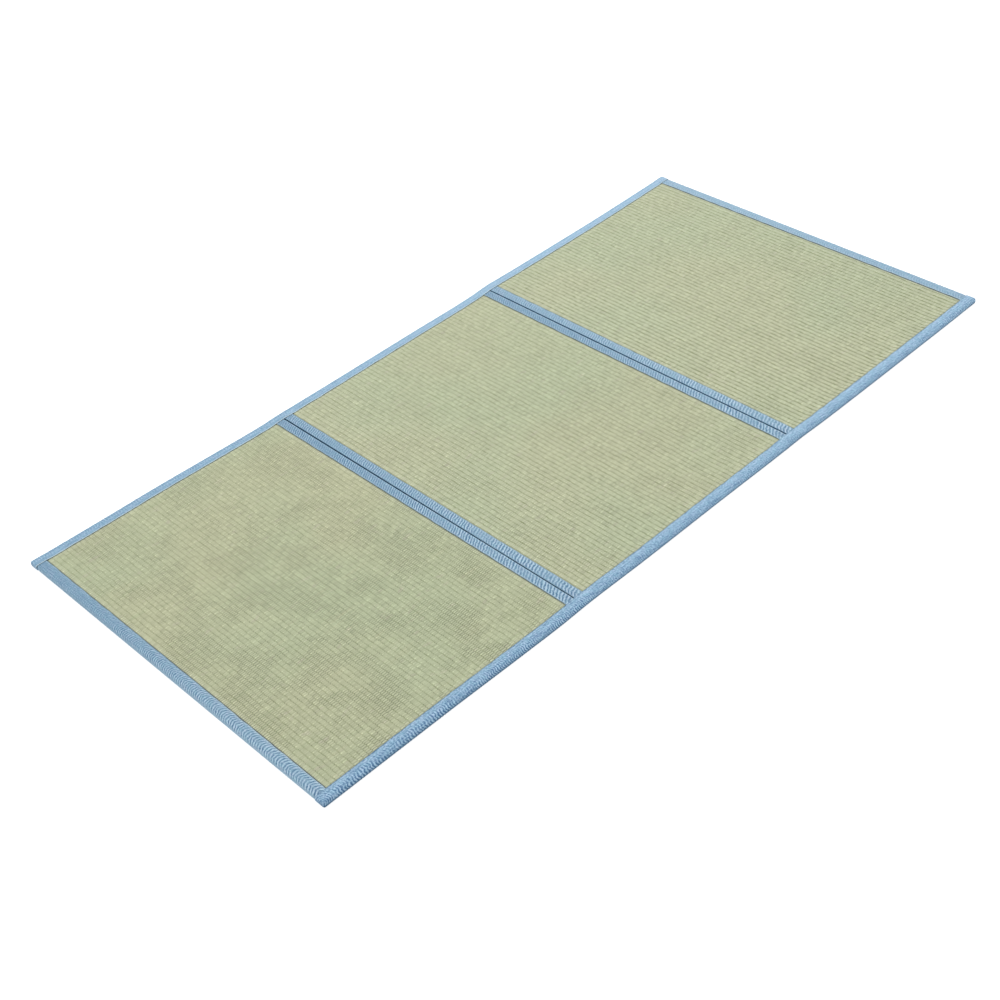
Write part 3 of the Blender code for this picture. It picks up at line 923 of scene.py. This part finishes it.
# Tape over a whole long side. Its two ends are closed and softly rounded.
def makeSideTape(name, nodeName, material, own, seed, values):
    side, reach, roll = own["side"], own["reach"], own["roll"]
    tip = matValues["length"] / 2 + wall
    tipLength, cloth = values["tipLength"], matValues["cloth"]
    near = np.array((0.0, 0.35, 0.8, 1.4, 2.2, tipLength * 1000)) * 0.001
    count = round((2 * tip - 2 * tipLength) / own["step"])
    dense = np.linspace(-tip + tipLength, tip - tipLength, count + 1)[1:-1]
    x = np.concatenate((near - tip, dense, tip - near[::-1]))
    fromTip = tip - np.abs(x)
    innerTip = np.where(fromTip < tipLength, cloth + fromTip * (1 - cloth / tipLength), fromTip)
    innerX = np.sign(x) * (tip - innerTip)
    soft = np.clip(1 - fromTip / tipLength, 0.0, 1.0)
    softInner = np.clip((tipLength - innerTip) / (tipLength - cloth), 0.0, 1.0)

    wander = values["edgeWander"] * softWaves(seed + 5, x, 0.0, 0.05, 1.0)
    lift = crossingLift(x)
    one = np.ones(len(x))
    sections = []
    for plan, drawIn, drop, inset in (
        (sectionPlan(True), 0.0024 * soft**2.9, 0.0022 * soft**3.0, 0.0),
        (sectionPlan(False), 0.0014 * softInner**2.6, 0.0013 * softInner**2.5, cloth),
    ):
        top = matValues["thickness"] + lift - drop
        sections.append(foldedSection(plan, reach * one + wander, roll, drop * one, top, drawIn, inset))
    outerU, outerZ, faceU, faceZ = sections[0]
    innerU, innerZ = sections[1][:2]
    across = clothAcross(outerU, outerZ)
    topWidth = reach - roll

    # chevrons on the outer half of the top that run on as stripes down the wall
    onWall = topWidth + 0.5 * math.pi * roll
    bend = 0.0035 * (1 - ((np.minimum(across, 0.021) - 0.014) / 0.008) ** 2)
    bend = bend + 0.55 * np.maximum(across - 0.021, 0.0)
    phase = ribsTo(x[:, None] - bend, own["ribCounts"])
    above = 1 - smoothStep(across, onWall + 0.0060, onWall + 0.0078)
    window = smoothStep(across, 0.007, 0.012) * (0.65 + 0.85 * smoothStep(across, topWidth, onWall)) * above
    swell = own["ribs"] * (1 + 0.3 * softWaves(seed + 6, x, 0.0, 0.1, 1.0))
    strength = window * (swell * (1 - 0.55 * smoothStep(x, -0.34, -0.26)))[:, None]
    if side < 0:
        # round the near tip the ribs turn into rings about the corner
        ring = np.hypot(x[:, None] + tip, outerU - 0.002) / 0.0042
        onTip = smoothStep(0.026 - tip - x, 0.0, 0.004)[:, None]
        ringStrength = smoothStep(across, 0.002, 0.006) * 0.9
        phase = np.where(onTip > 0.5, ring, phase)
        strength = np.where(onTip > 0.5, ringStrength, strength) * np.abs(2 * onTip - 1)
    near, far = own["tone"]
    # painted light: the tape grows lighter toward the far end
    tone = near + (far - near) * smoothStep(x, -0.9, 0.6)[:, None] + 0 * outerU
    tone = tone + own["stripe"] * np.exp(-(((across - 0.011) / 0.003) ** 2))
    # painted shade from the outer half of the top outward over the roll
    tone = tone + own["outside"] * smoothStep(across, 0.008, topWidth)
    tone = tone + own["inside"] * (1 - smoothStep(across, 0.0006, 0.0024))
    near, far = own["edgeLight"]
    edgeLight = near + (far - near) * smoothStep(x, -0.1, 0.5)[:, None]
    near, far = own["wallShade"]
    strong = (near + (far - near) * smoothStep(x, -0.5, -0.2))[:, None]
    shade = strong * smoothStep(across, topWidth + 0.002, onWall + 0.003)
    foot = own["footShade"] * smoothStep(across, onWall + 0.0028, onWall + 0.0040)
    shade = np.maximum(shade, foot) * above
    relief = clothRelief(seed, x, across, topWidth, (phase, strength), values)
    relief = relief * smoothStep(fromTip, 0.0, 0.006)[:, None]
    relief[:, :2] = 0.0
    outerU = outerU + faceU * relief
    outerZ = np.maximum(outerZ + faceZ * relief, 0.0)

    def placed(places, u, z):
        line = sideLine(places, side)[:, None]
        return np.stack((places[:, None] + 0 * u, line - side * u, z), -1)

    outer, inner = placed(x, outerU, outerZ), placed(innerX, innerU, innerZ)
    looks = {"rib": phase, "ribStrength": strength, "tone": tone, "shade": shade, "edgeLight": edgeLight}
    tape = makeTapeMesh(name, outer, inner, x, across, looks)

    # both ends are closed: a face over the end of each skin, and the rim between them is filled later
    setMode("EDIT")
    pickAll()
    bpy.ops.mesh.remove_doubles(threshold=clothValues["merge"])
    for wanted in (outer[0], outer[-1], inner[0], inner[-1]):
        pickAll("DESELECT")
        setMode("OBJECT")
        points = readPoints(tape)
        close = np.abs(points[:, 0] - wanted[0, 0]) < 0.0001
        distance = np.full(len(points), 1.0)
        distance[close] = np.abs(points[close][:, None, :] - wanted[None, :, :]).max(2).min(1)
        tape.data.vertices.foreach_set("select", distance < 0.000003)
        setMode("EDIT")
        bpy.ops.mesh.select_mode(type="VERT")
        bpy.ops.mesh.edge_face_add()
    setMode("OBJECT")
    finishTape(tape, nodeName, material)


# each place: X of the outer face, reach inward and the radius of the folded edge
endRoll = 0.0045
foldRoll = 0.0022
halfGap = matValues["foldGap"] / 2
nearEnd = (-matValues["length"] / 2, 0.0225, endRoll)
farEnd = (matValues["length"] / 2 + 0.0011, 0.0236, endRoll)
beforeFirst = (matValues["firstFold"] - halfGap, 0.0205, foldRoll)
afterFirst = (matValues["firstFold"] + halfGap, 0.0199, foldRoll)
beforeSecond = (matValues["secondFold"] - halfGap, 0.0201, foldRoll)
afterSecond = (matValues["secondFold"] + halfGap, 0.0207, foldRoll)

makePanel("rushPanelNear", "panel_near", nearEnd, beforeFirst, 11, panelNear, rushValues)
makePanel("rushPanelMiddle", "panel_middle", afterFirst, beforeSecond, 23, panelMiddle, rushValues)
makePanel("rushPanelFar", "panel_far", afterSecond, farEnd, 37, panelFar, rushValues)

# pairs hold the values at the right and the left end of each tape; crack is where its shadow starts, in mm
endTapeNear = {
    "ribs": "arched",
    "ribCounts": ((-0.45, 148), (-0.33, 152), (-0.175, 163.5), (0.0, 188), (0.45, 190)),
    "strength": (1.0, 0.35),
    "quietMiddle": 0.45,
    "ribFadeAndLitPale": (0.0, 0.3),
    "tone": (-0.02, -0.14),
    "edgeLight": (0.50, 0.0),
    "outside": 0.10,
    "lines": 1.0,
    "crack": (0, 0),
    "step": 0.0013,
}
foldTapeFirstNear = {
    "ribs": "slanted",
    "ribCounts": ((-0.45, 128), (-0.33, 132), (-0.175, 149), (0.0, 165), (0.45, 165)),
    "strength": (0.9, 0.60),
    "quietMiddle": 0.15,
    "ribFadeAndLitPale": (-0.05, 0.22),
    "tone": (-0.03, -0.16),
    "edgeLight": (0.25, 0.15),
    "crack": (0.7, 0.2),
    "lines": 0.3,
    "step": 0.0014,
}
foldTapeFirstFar = dict(
    foldTapeFirstNear, ribs="curved", tone=(-0.01, -0.09), edgeLight=(0.1, 0.0), crack=(1.8, 0.5),
)
foldTapeSecondNear = dict(
    foldTapeFirstNear, ribCounts=((-0.45, 126), (-0.33, 129), (-0.175, 141), (0.0, 160), (0.45, 160)),
    strength=(0.75, 0.55), tone=(-0.02, -0.13), crack=(2.1, 1.8),
)
foldTapeSecondFar = dict(
    foldTapeSecondNear, ribs="curved", tone=(0.05, -0.01), edgeLight=(0.1, 0.0), crack=(0.2, 0.0),
)
endTapeFar = dict(
    endTapeNear, ribCounts=((-0.45, 150), (0.45, 165)), strength=(0.28, 0.20), tone=(0.05, 0.11),
    edgeLight=(0.45, 0.35), outside=-0.40, step=0.0020, lines=0.0,
)
for name, node, place, inward, own, seed, below in (
    ("endTapeNear", "end_binding_near", nearEnd, 1, endTapeNear, 50, "Near"),
    ("foldTapeFirstNear", "fold_binding_1_near", beforeFirst, -1, foldTapeFirstNear, 60, "Near"),
    ("foldTapeFirstFar", "fold_binding_1_far", afterFirst, 1, foldTapeFirstFar, 70, "Middle"),
    ("foldTapeSecondNear", "fold_binding_2_near", beforeSecond, -1, foldTapeSecondNear, 80, "Middle"),
    ("foldTapeSecondFar", "fold_binding_2_far", afterSecond, 1, foldTapeSecondFar, 90, "Far"),
    ("endTapeFar", "end_binding_far", farEnd, -1, endTapeFar, 100, "Far"),
):
    makeCrossTape(name, node, place, inward, own, seed, clothValues)

makeSideTape("sideTapeLeft", "side_binding_left", leftMaterial, sideTapeLeft, 120, clothValues)
makeSideTape("sideTapeRight", "side_binding_right", rightMaterial, sideTapeRight, 140, clothValues)

stageValues = {
    "floorSize": 40.0,
    "floorColour": (0.55, 0.55, 0.55, 1),
    "floorGlow": 0.62,
    "roomLight": 1.0,
    "keyPlace": (1.7, 2.2, 6.0),
    "keySize": 5.0,
    "keyPower": 219.0,
}


def makeStage(values):
    deselectAll()
    bpy.ops.mesh.primitive_plane_add(size=values["floorSize"], location=(0, 0, 0))
    floor = bpy.context.object
    floor.name = "floor"
    bench = NodeBench("paleFloor")
    settings = {
        "Base Color": values["floorColour"], "Roughness": 0.9,
        "Emission Color": (1, 1, 1, 1), "Emission Strength": values["floorGlow"],
    }
    for socket, value in settings.items():
        bench.shader.inputs[socket].default_value = value
    floor.data.materials.append(bench.material)

    bpy.ops.object.light_add(type="AREA", location=values["keyPlace"])
    key = bpy.context.object
    key.name = "softBox"
    key.data.shape = "SQUARE"
    key.data.size = values["keySize"]
    key.data.energy = values["keyPower"]
    key.rotation_euler = (-Vector(values["keyPlace"])).to_track_quat("-Z", "Y").to_euler()

    world = bpy.data.worlds.new("room")
    world.use_nodes = True
    background = world.node_tree.nodes["Background"]
    background.inputs["Color"].default_value = (1, 1, 1, 1)
    background.inputs["Strength"].default_value = values["roomLight"]
    bpy.context.scene.world = world
    bpy.context.scene.view_settings.view_transform = "Standard"


cameraValues = {
    "place": (-1.72018, -2.00609, 2.02596),
    "right": (0.715799, -0.690512, -0.104046),
    "up": (0.504490, 0.408332, 0.760759),
    "lens": 59.364,
    "sensor": 36.0,
}


def makeCamera(values):
    bpy.ops.object.camera_add()
    camera = bpy.context.object
    camera.name = "photoCamera"
    camera.data.lens = values["lens"]
    camera.data.sensor_width = values["sensor"]
    right, up = Vector(values["right"]), Vector(values["up"])
    turned = Matrix((right, up, right.cross(up))).transposed().to_4x4()
    camera.matrix_world = Matrix.Translation(values["place"]) @ turned
    bpy.context.scene.camera = camera


makeStage(stageValues)
makeCamera(cameraValues)
print("floor, light and camera made")
